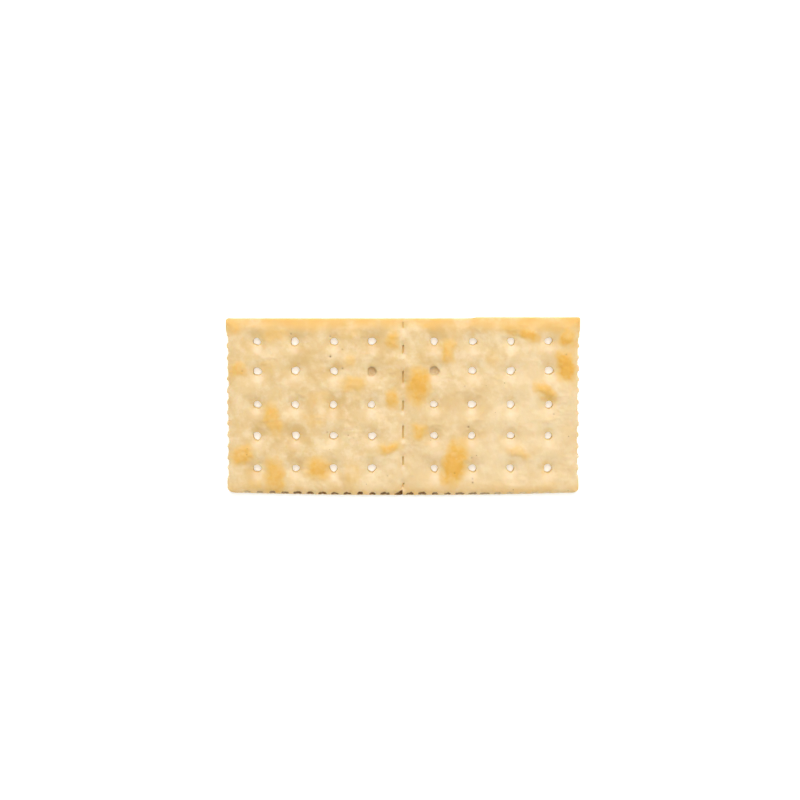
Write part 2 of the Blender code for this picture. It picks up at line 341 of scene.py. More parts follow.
# The radii that round the edges, and the mouths of the holes, the slits and the pits
SMOOTH_LIP = 0.7
CORNER_LIP = 0.22
CORNER_LIP_REACH = 3.0
TORN_LIP = 0.24
HOLE_LIP = 0.3
SLIT_LIP = 0.14
PIT_LIP = 0.5

# The brown of the long edge's bites, darkened with painted shade: how it fades towards the corners, how deep
# a bite has to be for it, and the level of the wall where it starts. The foot of that edge has a painted
# contact shadow, and the foot of the smooth one is brown.
NOTCH_BROWN_AND_SHADE = 0.95
NOTCH_FADE = 0.8
NOTCH_EDGE = 0.2
NOTCH_BROWN_AND_SHADE_FROM = 0.35
NOTCH_BROWN_AND_SHADE_ONSET = 3
FOOT_SHADOW = 0.75
FOOT_SHADOW_UP_TO = 0.4
CRUST_BROWN = 0.9

# How much a slit's walls look like the inside of a hole, how much a pit is darkened by painted shade, and how
# torn an edge's foot is
SLIT_INSIDE = 0.3
PIT_SHADE = 0.3
TORN_FOOT = 0.3

# Each octave of the rough noise is OCTAVE_FINENESS times as fine as the one before, and weaker by that to the
# power of OCTAVE_WEAKENING
OCTAVE_WEAKENING = 0.8
OCTAVE_FINENESS = 2.1

SEED = 7


def smooth_step(t):
    t = np.clip(t, 0.0, 1.0)
    return t * t * (3 - 2 * t)


def noise_places(x, y, scale, layer):
    """Where each point lies in the noise. The layer keeps one use of it from looking like another."""
    return [Vector((a, b, 0)) / scale + Vector((0, 0, layer)) for a, b in zip(x, y)]


def plain_noise(x, y, scale, layer=0.0):
    """Noise from -1 to 1 at each point, with features about one scale wide."""
    return np.array([noise.noise(place) for place in noise_places(x, y, scale, layer)])


def rough_noise(x, y, scale, layer=0.0, octaves=3):
    """The same, with finer and finer noise upon it."""
    places = noise_places(x, y, scale, layer)
    return np.array([noise.fractal(place, OCTAVE_WEAKENING, OCTAVE_FINENESS, octaves) for place in places])


def directions(angles):
    """The direction in plan at each angle."""
    return np.stack([np.cos(angles), np.sin(angles)], axis=1)


def turned(x, y, middle_x, middle_y, turn):
    """Each point's distances along and across a line through a middle, turned from +X by so many degrees."""
    angle = math.radians(turn)
    along = (x - middle_x) * math.cos(angle) + (y - middle_y) * math.sin(angle)
    across = (y - middle_y) * math.cos(angle) - (x - middle_x) * math.sin(angle)
    return along, across


# ---- The form of the dough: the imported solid's, and the finer relief upon it


def docking_holes(draw):
    """(x, y) of each docking hole, a little off the regular grid."""
    holes = []
    for half_middle in (-HALF_MIDDLE, HALF_MIDDLE):
        for column in range(COLUMNS):
            x = half_middle + (column - (COLUMNS - 1) / 2) * COLUMN_PITCH
            for y in ROW_HEIGHTS:
                shift_x = draw.uniform(-HOLE_SHIFT, HOLE_SHIFT)
                shift_y = draw.uniform(-HOLE_SHIFT, HOLE_SHIFT)
                holes.append((x + shift_x, y + shift_y))
    return holes


def side_reach(y):
    """How far the short edges stand from the middle of the cracker."""
    torn = smooth_step((HALF_WIDTH - y - UNTORN_CORNER) / CORNER_STEP)
    return HALF_LENGTH - TEAR_SET_BACK * torn * smooth_step((HALF_WIDTH + y) / FOOT_FLARE)


def long_reach(x):
    """How far the torn long edge stands from the middle of the cracker, at its foot."""
    return HALF_WIDTH - LONG_EDGE_BOW * (x / HALF_LENGTH) ** 2


def smooth_reach(x):
    """How far the smooth edge stands from the middle of the cracker."""
    return HALF_WIDTH - SMOOTH_EDGE_STEP * smooth_step((SMOOTH_STEP_AT - x) / SMOOTH_STEP_LENGTH + 0.5)


def edge_rise(to_edge, at_edge):
    """How freely the dough has risen at a distance from an edge, from its value at that edge."""
    return at_edge + (1 - at_edge) * np.sin(math.pi / 2 * np.clip(to_edge / RIM_WIDTH, 0, 1))


def puff(x, y, holes):
    """How freely the dough has risen: 0 where it is pinned or at the smooth edge, 1 on top of a pillow."""
    free = np.ones_like(x)
    for hole_x, hole_y in holes:
        reach = ((x - hole_x) ** 2 + (y - hole_y) ** 2) / DIMPLE_SPREAD**2
        free *= 1 - np.exp(-reach)
    torn_rim = edge_rise(np.minimum(side_reach(y) - np.abs(x), long_reach(x) + y), TORN_RIM)
    rim = np.minimum(torn_rim, edge_rise(smooth_reach(x) - y, 0.0))
    score = 1 - SCORE_DEPTH * np.exp(-((x / SCORE_SPREAD) ** 2))
    return free * rim * score


def oval_reach(x, y, oval):
    """Distance from an oval's middle, 1 on its outline."""
    middle_x, middle_y, length, width, turn = oval[:5]
    along, across = turned(x, y, middle_x, middle_y, turn)
    power = BLISTER_SQUARENESS
    return (np.abs(along / (length / 2)) ** power + np.abs(across / (width / 2)) ** power) ** (1 / power)


def ragged(x, y):
    """The points shifted by noise, so that what is drawn through them has ragged outlines."""
    shift_x = BLISTER_RAGGEDNESS * rough_noise(x, y, BLISTER_RAGGED_SIZE, layer=3.0, octaves=4)
    shift_y = BLISTER_RAGGEDNESS * rough_noise(x, y, BLISTER_RAGGED_SIZE, layer=9.0, octaves=4)
    return x + shift_x, y + shift_y


def blister_height(x, y):
    at_x, at_y = ragged(x, y)
    nearest = np.min([oval_reach(at_x, at_y, blister) for blister in BLISTERS], axis=0)
    return BLISTER_RISE * smooth_step(BLISTER_REACH - nearest)


def wrinkle_height(x, y):
    """Thin ridges, mostly along X, that come and go over the skin."""
    waves = plain_noise(x / WRINKLE_STRETCH, y, WRINKLE_SIZE, layer=17.0)
    ridges = np.maximum(1 - WRINKLE_SHARPNESS * np.abs(waves), 0)
    patches = plain_noise(x, y, WRINKLED_PATCH_SIZE, layer=19.0)
    return WRINKLE_RISE * ridges * smooth_step(WRINKLED_PATCH_EDGE * patches)


def fold_height(x, y):
    height = np.zeros_like(x)
    for middle_x, middle_y, length, turn, bow, rise in FOLDS:
        along, across = turned(x, y, middle_x, middle_y, turn)
        along = along / (length / 2)
        ridge = np.exp(-(((across + bow * along**2) / FOLD_WIDTH) ** 2))
        height += rise * ridge * smooth_step(FOLD_REACH - np.abs(along))
    return height


def slit_dip(x, y):
    """How far the skin is pressed down round the slits."""
    dip = np.zeros_like(x)
    for foot, head, _ in SLITS:
        beyond = np.maximum(np.abs(y - (foot + head) / 2) - (head - foot) / 2, 0)
        dip += SLIT_DIP * np.exp(-(x**2 + beyond**2) / SLIT_DIP_SPREAD**2)
    return dip


def funnel(x, y, holes):
    """How far the skin is drawn down round the mouths of the docking holes."""
    drawn = np.zeros_like(x)
    for hole_x, hole_y in holes:
        beyond = np.maximum(np.hypot(x - hole_x, y - hole_y) - HOLE_TOP_RADIUS, 0)
        drawn += FUNNEL_DEPTH * np.exp(-((beyond / FUNNEL_SPREAD) ** 2))
    return drawn


def pinhole(x, y):
    """How deep in a pinhole each point lies, from 0 to that pinhole's darkness."""
    deep = np.zeros_like(x)
    for middle_x, middle_y, dark in PINHOLES:
        deep += dark * np.exp(-((x - middle_x) ** 2 + (y - middle_y) ** 2) / PINHOLE_RADIUS**2)
    return deep


def fine_relief(x, y):
    """Swellings, roller streaks, wrinkles and folds."""
    swellings = sum(rise * rough_noise(x, y, size, layer) for rise, size, layer in SWELLINGS)
    streaks = STREAK_RISE * plain_noise(x / STREAK_STRETCH, y, STREAK_SIZE, layer=2.0)
    return swellings + streaks + wrinkle_height(x, y) + fold_height(x, y)


def upper_skin(x, y, holes):
    """The height of the docked face."""
    risen = puff(x, y, holes)
    uneven = plain_noise(x, y, UNEVENNESS_SCALE)
    pillow = PILLOW_RISE * risen * (1 + PILLOW_UNEVENNESS * uneven)
    blisters = blister_height(x, y) * smooth_step(BLISTER_ONSET * risen)
    relief = fine_relief(x, y) * smooth_step(RELIEF_ONSET * risen)
    pressed = slit_dip(x, y) + funnel(x, y, holes) + PINHOLE_DEPTH * pinhole(x, y)
    return PINNED_TOP + (pillow + blisters + relief) - pressed


def lower_skin(x, y, holes):
    """The height of the underside: pillows pressed flat on z = 0, and hollows under the pinned places."""
    lifted = np.maximum(UNDERSIDE_LIFT * (1 - puff(x, y, holes)) - UNDERSIDE_FLAT, 0.0)
    return lifted * (1 + UNDERSIDE_ROUGHNESS * rough_noise(x, y, UNDERSIDE_ROUGH_SIZE, layer=13.0))


def beside_holes(x, y, holes, above, spread):
    """1 at a given height above each docking hole, falling off over the given spread."""
    near = np.zeros_like(x)
    for hole_x, hole_y in holes:
        near += np.exp(-((x - hole_x) ** 2 + (y - hole_y - above) ** 2) / spread**2)
    return near


def painted_highlights(x, y, holes):
    """How much painted highlight each point has: below each docking hole, and on the scored line below each
    slit.
    """
    pale = HOLE_HIGHLIGHT_SHARE * beside_holes(x, y, holes, -HIGHLIGHT_BELOW_HOLE, HOLE_HIGHLIGHT_SPREAD)
    for foot, _, _ in SLITS:
        pale += np.exp(-(x**2 + (y - foot + SLIT_HIGHLIGHT_BELOW) ** 2) / SLIT_HIGHLIGHT_SPREAD**2)
    return pale


def toasting_and_hole_shade(x, y, holes):
    """How toasted the upper skin is, from 0 to 1, with painted shade above each docking hole."""
    at_x, at_y = ragged(x, y)
    # Painted shade above each docking hole, mixed in with the toasting
    toast = HOLE_SHADE_SHARE * beside_holes(x, y, holes, SHADE_ABOVE_HOLE, HOLE_SHADE_SPREAD)
    for oval in BLISTERS + TOASTED_PATCHES:
        toasted = np.clip((TOAST_REACH - oval_reach(at_x, at_y, oval)) / TOAST_FADE, 0, 1)
        toast = np.maximum(toast, oval[5] * toasted)
    return toast


def edge_gold(x, y):
    """How golden the dough is along the long edges, from 0 to 1: most at the corners of the smooth one. Along
    the torn edge the gold is partly painted shade.
    """
    uneven = GOLD_UNEVENNESS * plain_noise(x, y, GOLD_PATCH_SIZE, layer=21.0)
    to_corner = smooth_step((np.abs(x) - GOLD_CORNER_FROM) / GOLD_CORNER_LENGTH)
    smooth_depth = GOLD_DEPTH + uneven + GOLD_CORNER_DEPTH * to_corner
    smooth_side = smooth_step(GOLD_REACH - (HALF_WIDTH - y) / smooth_depth)
    # Along the torn edge this gold is partly painted shade, where the rim slopes away from the light
    torn_gold_and_shade = TORN_GOLD_AND_SHADE * smooth_step(GOLD_REACH - (long_reach(x) + y) / (TORN_GOLD_AND_SHADE_DEPTH + uneven))
    return np.maximum(smooth_side, torn_gold_and_shade)


# ---- The borders of the skins: the outline, the docking holes and the slits


class Border:
    """A closed border of the skins: rows of points down its wall, and what its wall is like.

    inward holds, at each point of the border, the direction in plan that leads into the dough. torn and
    inside tell how torn the wall is, and how much it looks like the wall of a hole. crusted tells how brown
    it gets towards its foot, and dark how much painted shade darkens it there. The last holds, for each row,
    how brown its points are and how much painted shade darkens them.
    """

    def __init__(self, rows, inward, torn=0.0, inside=0.0, crusted=0.0, dark=0.0, notched=None):
        self.rows = rows
        self.inward = inward
        self.torn = torn
        self.inside = inside
        self.crusted = crusted
        self.dark = dark
        self.notched = notched or [0.0] * len(rows)


def rounded_rectangle():
    """Points along the uncut outline, counter-clockwise, and the outward direction at each."""
    corners = []
    for number, (side_x, side_y, radius) in enumerate(CORNERS):
        count = max(math.ceil(radius * math.pi / 2 / RIM_STEP), CORNER_STEPS)
        outward = directions(np.linspace(0, math.pi / 2, count + 1) + (number - 1) * math.pi / 2)
        middle = np.array([side_x * (HALF_LENGTH - radius), side_y * (HALF_WIDTH - radius)])
        corners.append((middle + radius * outward, outward))
    points, facings = [], []
    for (arc, outward), (next_arc, _) in zip(corners, corners[1:] + corners[:1]):
        span = next_arc[0] - arc[-1]
        count = round(float(np.hypot(*span)) / RIM_STEP)
        share = np.arange(1, count)[:, None] / count
        points += [arc, arc[-1] + share * span]
        facings += [outward, np.repeat(outward[-1:], count - 1, axis=0)]
    return np.concatenate(points), np.concatenate(facings)


def perforation_bites(draw):
    """(side, place along the edge, half length, depth, foot) of each bite; side is the way its edge faces."""
    bites = []
    count = int((WIDTH - 2 * UNTORN_CORNER) / SHORT_EDGE_PITCH)
    for side in ((-1, 0), (1, 0)):
        for number in range(count):
            shift = draw.uniform(-SHORT_EDGE_SHIFT, SHORT_EDGE_SHIFT)
            along = (number + 0.5 - count / 2) * SHORT_EDGE_PITCH + shift
            length = SHORT_EDGE_BITE * draw.uniform(*SHORT_EDGE_LENGTHS)
            depth = SHORT_EDGE_DEPTH * draw.uniform(*SHORT_EDGE_DEPTHS)
            bites.append((side, along, length / 2, depth, SHORT_EDGE_FOOT))
    count = int((HALF_LENGTH - UNTORN_CORNER) / LONG_EDGE_PITCH)
    for number in range(-count, count):
        along = LONG_EDGE_PHASE + number * LONG_EDGE_PITCH
        if number == CHIPPED_BITE:
            continue
        length = LONG_EDGE_BITE * draw.uniform(*LONG_EDGE_LENGTHS)
        faded = LONG_EDGE_FADE * ((along - DEEPEST_BITE_AT) / HALF_LENGTH) ** 2
        depth = LONG_EDGE_DEPTH * (1 - faded) * draw.uniform(*LONG_EDGE_DEPTHS)
        bites.append(((0, -1), along, length / 2, depth, LONG_EDGE_FOOT))
    return bites


def chipped(points, outward, level):
    """How deep the chip reaches into the edge at each point.

    level tells how far up the wall that is: 0 at the underside, and 1 at the top of pinned dough.
    """
    scale = max(CHIP_FOOT + (1 - CHIP_FOOT) * level, SMALLEST_BITE)
    share = np.clip((points[:, 0] - CHIP_END) / (CHIP_LENGTH * scale) + 1, 0, 1)
    inside = (outward[:, 1] < -FACING) & (points[:, 0] < CHIP_END)
    return np.where(inside, CHIP_DEPTH * scale * share**CHIP_BLUNTNESS, 0)


def bitten(points, outward, bites, level):
    """How deep the bites and the chip reach into the edge at each point, at a level of its wall."""
    depth = chipped(points, outward, level)
    for side, along, half, deepest, foot in bites:
        scale = max(foot + (1 - foot) * level, SMALLEST_BITE)
        place = points[:, 1] if side[0] else points[:, 0]
        faces_it = outward @ side > FACING
        across = np.clip(np.abs(place - along) / (half * scale**BITE_NARROWING), 0, 1)
        uneven = 1 + BITE_RAGGEDNESS * plain_noise(place, place * 0, BITE_RAGGED_SIZE, layer=along)
        bite = deepest * scale * uneven * (1 - across**2) ** BITE_BLUNTNESS
        depth = np.maximum(depth, np.where(faces_it, bite, 0))
    return depth


def moved_in(plan, inward, depth):
    """x and y of the points of a border, each moved into the dough by its depth."""
    return (plan + inward * depth[:, None]).T


def rounding(radius):
    """(fall, inset) of each row as a lip of the given radius turns from the skin down to the wall."""
    angles = [math.pi / 2 * step / LIP_ROWS for step in range(LIP_ROWS + 1)]
    return [(radius * (1 - math.cos(angle)), radius * (1 - math.sin(angle))) for angle in angles]


def wall_heights(top, bottom, lip):
    """(height, inset) of each row down a wall with a lip of the given radius at its top and at its foot."""
    rows = [(top - fall, inset) for fall, inset in rounding(lip)]
    for step in range(1, WALL_ROWS + 1):
        share = step / (WALL_ROWS + 1)
        rows.append((top - lip + share * (bottom + lip - top + lip), np.zeros_like(lip)))
    return rows + [(bottom + inset, fall) for fall, inset in rounding(lip)]


def outline_plan():
    """The outline in plan: its points, the outward direction at each, and how torn the edge is there."""
    plan, outward = rounded_rectangle()
    torn = smooth_step((HALF_WIDTH - plan[:, 1] - UNTORN_CORNER) / CORNER_STEP)
    plan[:, 1] *= np.where(plan[:, 1] < 0, long_reach(plan[:, 0]), smooth_reach(plan[:, 0])) / HALF_WIDTH
    plan[:, 0] *= side_reach(plan[:, 1]) / HALF_LENGTH
    return plan, outward, torn


def outline_lip(plan, torn):
    """The radius that rounds the edge at each point: large where it is smooth, but for the corners there."""
    from_corner = np.maximum(HALF_LENGTH - np.abs(plan[:, 0]), HALF_WIDTH - plan[:, 1])
    lip = CORNER_LIP + (SMOOTH_LIP - CORNER_LIP) * smooth_step(from_corner / CORNER_LIP_REACH)
    return lip + (TORN_LIP - lip) * torn


def eaten(travel, height, torn):
    """How deep the edge is eaten in at each point. travel tells how far round the outline the points lie."""
    crumb = CRUMB_DEPTH * (1 + plain_noise(travel, height, CRUMB_SIZE, layer=31.0))
    pores = PORE_DEPTH * (1 + plain_noise(travel / PORE_FLATNESS, height, PORE_SIZE))
    skin = SKIN_DEPTH * (1 + plain_noise(travel, height, SKIN_SIZE, layer=37.0))
    return (crumb + pores) * torn + skin * (1 - torn)


def notch_brown_and_shade(plan, outward, cut_in, level):
    """How brown and darkened with painted shade the long edge is at each point: in its bites and its chip,
    and at its foot, where it is a painted contact shadow.
    """
    on_long_edge = outward[:, 1] < -FACING
    # browned fades the brown and painted shade of the bites, and the painted contact shadow, towards the
    # corners
    browned = NOTCH_BROWN_AND_SHADE * (1 - NOTCH_FADE * ((plan[:, 0] - DEEPEST_BITE_AT) / HALF_LENGTH) ** 2)
    in_bite = browned * smooth_step(NOTCH_BROWN_AND_SHADE_ONSET * (level - NOTCH_BROWN_AND_SHADE_FROM))
    cut = smooth_step(cut_in * on_long_edge / NOTCH_EDGE)
    cut *= np.where(chipped(plan, outward, level) > 0, 1.0, in_bite)
    # A painted contact shadow along the foot of the torn long edge
    foot = FOOT_SHADOW * smooth_step(1 - level / FOOT_SHADOW_UP_TO) * on_long_edge
    return np.maximum(cut, foot * browned)


def outline_border(holes, bites):
    """The outer edge of the cracker, with its bites, its chip and its lean."""
    plan, outward, torn = outline_plan()
    inward = -outward
    lip = outline_lip(plan, torn)
    full_lean = LONG_EDGE_LEAN * np.maximum(inward[:, 1], 0)
    travel = np.cumsum(np.hypot(*(plan - np.roll(plan, 1, axis=0)).T))
    top_depth = np.maximum(bitten(plan, outward, bites, 1.0), full_lean)
    top = upper_skin(*moved_in(plan, inward, lip + top_depth), holes)
    bottom = lower_skin(*moved_in(plan, inward, lip), holes)
    rows, notched = [], []
    for height, inset in wall_heights(top, bottom, lip):
        level = float(np.mean(height)) / PINNED_TOP
        bite = bitten(plan, outward, bites, level)
        lean = full_lean * max(level - LEAN_FROM, 0) / (1 - LEAN_FROM)
        depth = inset + np.maximum(bite, lean) + eaten(travel, height, torn)
        rows.append(np.column_stack([*moved_in(plan, inward, depth), height]))
        notched.append(notch_brown_and_shade(plan, outward, bite - lean, level))
    return Border(rows, inward, torn=torn, crusted=CRUST_BROWN * (1 - torn), notched=notched)


def crooked_ring(turn):
    """The directions that lead into the dough round a docking hole, and how far it bulges towards each."""
    angles = turn - np.arange(HOLE_POINTS) * math.tau / HOLE_POINTS
    crooked = np.ones(HOLE_POINTS)
    for waves, rise, shift in HOLE_WAVES:
        crooked += rise * np.cos(waves * angles + shift * turn)
    return directions(angles), crooked


def pit_border(x, y, turn, size, holes):
    """A docking hole that was not pierced: a rounded pit. Its last row is the rim of its small floor."""
    inward, crooked = crooked_ring(turn)
    radius = PIT_RADIUS * size * crooked
    top = upper_skin(*moved_in((x, y), inward, radius + PIT_LIP), holes)
    reaches = [(radius + inset, top - fall) for fall, inset in rounding(PIT_LIP)]
    for step in range(1, WALL_ROWS + 1):
        angle = math.pi / 2 * step / (WALL_ROWS + 1)
        fallen = (top - PIT_LIP - PIT_FLOOR) * math.sin(angle)
        reaches.append((radius * math.cos(angle) ** PIT_BLUNTNESS, top - PIT_LIP - fallen))
    rows = [np.column_stack([*moved_in((x, y), inward, reach), height]) for reach, height in reaches]
    # The pit darkens towards its floor with painted shade
    return Border(rows, inward, dark=PIT_SHADE)


def hole_border(x, y, turn, size, holes):
    """A docking hole: a tapered, slightly crooked tube through the dough."""
    inward, crooked = crooked_ring(turn)
    lip = np.full(HOLE_POINTS, HOLE_LIP)
    top = upper_skin(*moved_in((x, y), inward, HOLE_TOP_RADIUS * size * crooked + lip), holes)
    bottom = lower_skin(*moved_in((x, y), inward, HOLE_FOOT_RADIUS * size * crooked + lip), holes)
    rows = []
    for height, inset in wall_heights(top, bottom, lip):
        share = (height - HOLE_TAPER_FROM) / (HOLE_TAPER_TO - HOLE_TAPER_FROM)
        radius = (HOLE_FOOT_RADIUS + (HOLE_TOP_RADIUS - HOLE_FOOT_RADIUS) * share) * size * crooked
        crumb = HOLE_CRUMB_DEPTH * plain_noise(x + inward[:, 0], y + inward[:, 1] + height, HOLE_CRUMB_SIZE)
        depth = radius + inset + crumb * (inset < lip)
        rows.append(np.column_stack([*moved_in((x, y), inward, depth), height]))
    return Border(rows, inward, inside=1.0)


def slit_plan(foot, head, slant):
    """Points round a slit in plan, clockwise, and the direction at each that leads into the dough."""
    half_width = SLIT_WIDTH / 2
    straight = head - foot - SLIT_WIDTH
    along = np.linspace(0, 1, round(straight / RIM_STEP) + 1)[1:-1]
    plan, inward = [], []
    for end, side in ((head - half_width, 1), (foot + half_width, -1)):
        outward = directions(np.linspace(math.pi, 0, SLIT_END_POINTS) + (0 if side > 0 else math.pi))
        line = np.stack([np.full(len(along), side * half_width), end - side * along * straight], axis=1)
        plan += [(0, end) + half_width * outward, line]
        inward += [outward, np.tile([side, 0.0], (len(along), 1))]
    plan, inward = np.concatenate(plan), np.concatenate(inward)
    crooked = plain_noise(plan[:, 0] * 0 + foot, plan[:, 1], SLIT_CROOKED_SIZE, layer=41.0)
    plan[:, 0] += SLIT_CROOKEDNESS * crooked + slant * (plan[:, 1] - (foot + head) / 2)
    return plan, inward


def slit_border(foot, head, slant, holes):
    """A slit of the scored line, cut deep but not through. Its last row is the rim of its narrow floor."""
    plan, inward = slit_plan(foot, head, slant)
    top = upper_skin(*(plan + inward * SLIT_LIP).T, holes)
    rows = [np.column_stack([plan + inward * inset, top - fall]) for fall, inset in rounding(SLIT_LIP)]
    for step in range(1, WALL_ROWS + 1):
        share = step / WALL_ROWS
        place = plan - inward * (SLIT_WIDTH / 2) * SLIT_NARROWING * share
        rows.append(np.column_stack([place, (top - SLIT_LIP) * (1 - share) + SLIT_FLOOR * share]))
    return Border(rows, inward, inside=SLIT_INSIDE)


# ---- The mesh


# What each point of the mesh tells the material
MARKS = ("toast", "gold", "pale", "torn", "inside", "notched", "under", "pinhole")

# The triangulation keeps to the inside of the outer edges, and takes points this near to each other as one
INSIDE_EDGES = 1
SAME_PLACE = 1e-6


class Mesh:
    """Points and faces as they are collected, with the marks that the material reads at each point."""

    def __init__(self):
        self.points = []
        self.marks = []
        self.faces = []
        self.count = 0

    def add(self, points, **marks):
        """Adds points with their marks, which are 0 where none is given, and returns their numbers."""
        numbers = np.arange(self.count, self.count + len(points))
        self.points.append(points)
        self.marks.append({name: np.broadcast_to(marks.get(name, 0.0), len(points)) for name in MARKS})
        self.count += len(points)
        return numbers


def add_wall(mesh, border, holes):
    """Adds a border's wall and returns the numbers of its first and last row."""
    rows = []
    last_row = len(border.rows) - 1
    for number, row in enumerate(border.rows):
        deep = min(number / LIP_ROWS, 1.0)
        shallow = min((last_row - number) / LIP_ROWS, 1.0)
        x, y, _ = row.T
        numbers = mesh.add(
            row,
            toast=toasting_and_hole_shade(x, y, holes) * (1 - deep),
            gold=edge_gold(x, y),
            pale=painted_highlights(x, y, holes) * (1 - deep),
            torn=border.torn * min(deep, max(shallow, TORN_FOOT)),
            inside=border.inside * number / last_row,
            notched=border.notched[number] * deep,
            under=np.maximum(1 - shallow, border.crusted * number / last_row),
            # The pits' painted shade is carried by the pinhole mark
            pinhole=border.dark * number / last_row,
        )
        rows.append(numbers)
    for above, below in zip(rows, rows[1:]):
        corners = [above, below, np.roll(below, -1), np.roll(above, -1)]
        mesh.faces += np.column_stack(corners).tolist()
    return rows[0], rows[-1]


class Dough:
    """Tells whether a place in plan lies in the dough, by the border point nearest to it."""

    def __init__(self, borders):
        self.edge = np.concatenate([row[:, :2] for _, row, _ in borders])
        self.inward = np.concatenate([inward for _, _, inward in borders])
        self.tree = kdtree.KDTree(len(self.edge))
        for number, (x, y) in enumerate(self.edge):
            self.tree.insert((x, y, 0), number)
        self.tree.balance()

    def holds(self, place, clearance=0.0):
        _, number, distance = self.tree.find((place[0], place[1], 0))
        return distance > clearance and (place - self.edge[number]) @ self.inward[number] > 0


def pinhole_rings():
    for middle_x, middle_y, _ in PINHOLES:
        for radius, count in PINHOLE_RINGS:
            for angle in np.arange(count) * math.tau / count:
                yield middle_x + radius * math.cos(angle), middle_y + radius * math.sin(angle)


def skin_points(borders, spacing, dough, pierced):
    """Points spread over a skin, clear of its borders, and closer together round them and in pinholes."""
    spread = []
    for number, offset in enumerate(COLLARS):
        for _, row, inward in borders:
            collar = (row[:, :2] + inward * offset)[number :: number + 2]
            spread += [place for place in collar if dough.holds(place, COLLAR_CLEARANCE * offset)]
    jitter = np.random.default_rng(SEED)
    clearance = SPACING_CLEARANCE * spacing
    row_gap = spacing * math.sqrt(3) / 2
    for number in range(int(WIDTH / row_gap) + 1):
        x = np.arange(-HALF_LENGTH, HALF_LENGTH, spacing) + (number % 2) * spacing / 2
        y = np.full(len(x), number * row_gap - HALF_WIDTH)
        shifts = jitter.uniform(-SPACING_JITTER, SPACING_JITTER, (len(x), 2)) * spacing
        scattered = np.stack([x, y], axis=1) + shifts
        spread += [place for place in scattered if dough.holds(place, COLLARS[-1] + clearance)]
    if pierced:
        middles = np.array([(x, y) for x, y, _ in PINHOLES])
        clear = PINHOLE_RINGS[-1][0] + clearance
        spread = [place for place in spread if np.min(np.hypot(*(middles - place).T)) > clear]
        spread += [place for place in map(np.array, pinhole_rings()) if dough.holds(place, COLLARS[0])]
    return np.array(spread)


def add_skin(mesh, borders, spacing, pierced, skin, marks_of, holes):
    """Adds a skin between its borders, given by the numbers, the points and the inward directions of each."""
    dough = Dough(borders)
    spread = skin_points(borders, spacing, dough, pierced)
    inner = mesh.add(np.column_stack([spread, skin(*spread.T, holes)]), **marks_of(*spread.T))
    numbers = np.concatenate([edge_numbers for edge_numbers, _, _ in borders] + [inner])
    plan = np.concatenate([dough.edge, spread])
    edges, start = [], 0
    for edge_numbers, _, _ in borders:
        count = len(edge_numbers)
        edges += [(start + step, start + (step + 1) % count) for step in range(count)]
        start += count
    places = [Vector(place) for place in plan]
    _, _, triangles, sources, _, _ = delaunay_2d_cdt(places, edges, [], INSIDE_EDGES, SAME_PLACE)
    for triangle in triangles:
        corners = [sources[corner][0] for corner in triangle]
        if max(corners) >= len(dough.edge) or dough.holds(plan[corners].mean(axis=0)):
            mesh.faces.append(numbers[corners].tolist())


def cracker_mesh():
    draw = random.Random(SEED)
    holes = docking_holes(draw)
    pins = [(x, y, draw.uniform(0, math.tau), draw.uniform(*HOLE_SIZES)) for x, y in holes]
    bites = perforation_bites(draw)
    outline = outline_border(holes, bites)
    tubes = [hole_border(*pin, holes) for number, pin in enumerate(pins) if number not in PITS]
    pits = [pit_border(*pins[number], holes) for number in PITS]
    slits = [slit_border(*slit, holes) for slit in SLITS]

    mesh = Mesh()
    upper, lower = [], []
    through = [outline] + tubes
    for border in through + pits + slits:
        first, last = add_wall(mesh, border, holes)
        upper.append((first, border.rows[0], border.inward))
        if border in through:
            lower.append((last, border.rows[-1], border.inward))
        else:
            mesh.faces.append(last.tolist())

    def upper_marks(x, y):
        baked = {"toast": toasting_and_hole_shade(x, y, holes), "gold": edge_gold(x, y)}
        return baked | {"pale": painted_highlights(x, y, holes), "pinhole": pinhole(x, y)}

    def lower_marks(x, y):
        return {"gold": edge_gold(x, y), "under": 1.0}

    add_skin(mesh, upper, UPPER_SPACING, True, upper_skin, upper_marks, holes)
    add_skin(mesh, lower, LOWER_SPACING, False, lower_skin, lower_marks, holes)
    return mesh


def new_object(name, data):
    """A new object of the scene."""
    made = bpy.data.objects.new(name, data)
    bpy.context.scene.collection.objects.link(made)
    return made


def cracker_object(material):
    shape = cracker_mesh()
    mesh = bpy.data.meshes.new("baked_cracker")
    mesh.from_pydata(np.concatenate(shape.points) * MM, [], shape.faces)
    for name in MARKS:
        values = np.concatenate([marks[name] for marks in shape.marks])
        mesh.attributes.new(name, "FLOAT", "POINT").data.foreach_set("value", values.astype(np.float32))
    tidy = bmesh.new()
    tidy.from_mesh(mesh)
    bmesh.ops.delete(tidy, geom=[vertex for vertex in tidy.verts if not vertex.link_faces], context="VERTS")
    bmesh.ops.recalc_face_normals(tidy, faces=tidy.faces)
    tidy.to_mesh(mesh)
    tidy.free()
    mesh.shade_smooth()
    mesh.materials.append(material)
    return new_object("baked_cracker", mesh)


# ---- The material


def linear(red, green, blue):
    """A colour given as it is seen, from 0 to 255, as the shader wants it."""
    return tuple(((value / 255 + 0.055) / 1.055) ** 2.4 for value in (red, green, blue)) + (1.0,)


CREAM = linear(225, 199, 150)
PALE = linear(234, 212, 172)
SAND = linear(216, 183, 124)
TOAST = linear(228, 187, 106)
DEEP_TOAST = linear(225, 172, 70)
GOLD = linear(226, 184, 108)
# The colour of the painted highlights below the slits and the docking holes
PAINTED_HIGHLIGHT = linear(242, 222, 196)
CRUMB = linear(238, 214, 170)
INNER = linear(226, 196, 134)
DEEP_INNER = linear(224, 188, 124)
# The brown of the bites and the chip, darkened with painted shade
NOTCH_BROWN_AND_SHADE_COLOUR = linear(104, 62, 8)
UNDER_BROWN = linear(192, 138, 62)
